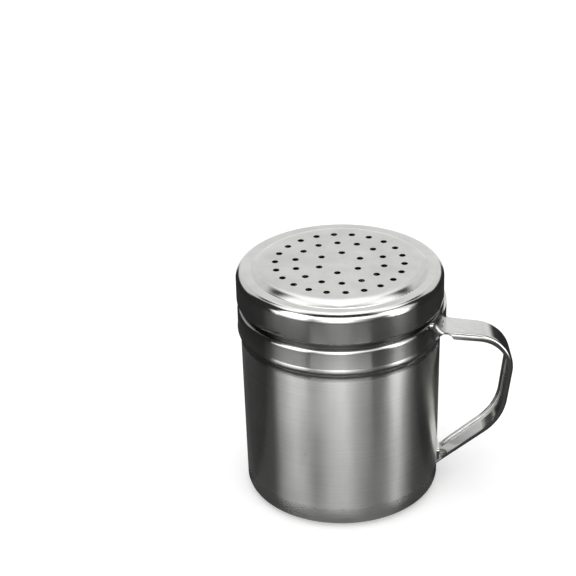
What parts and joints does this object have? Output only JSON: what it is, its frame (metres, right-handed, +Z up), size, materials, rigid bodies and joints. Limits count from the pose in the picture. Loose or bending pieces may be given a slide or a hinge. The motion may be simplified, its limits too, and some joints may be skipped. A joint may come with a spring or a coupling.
{
  "type": "spice shaker",
  "caption": "Straight-sided drawn steel spice shaker: cup with a stepped collar, perforated lid on lugs and a folded strap handle on its side.",
  "frame": {"origin": "on the cup's axis, in the plane that the cup stands on", "axes": "+Z up along the cup's axis, +X towards the handle"},
  "size_m": [0.0965, 0.072, 0.0865],
  "materials": {
    "cup_steel": "fine circumferential brushing",
    "lid_steel": "satin top, finely brushed skirt",
    "handle_steel": "lengthwise polish",
    "weld_steel": "matt weld nuggets"
  },
  "bodies": {
    "cup": {"cup": "cup_steel", "handle": "handle_steel", "upper_spot_welds": "weld_steel", "lower_spot_welds": "weld_steel"},
    "lid": {"lid": "lid_steel"}
  },
  "joints": [
    {"name": "lid_lift", "type": "slide", "parent": "cup", "child": "lid", "axis": [0, 0, 1], "range_m": [0, 0.03]}
  ]
}
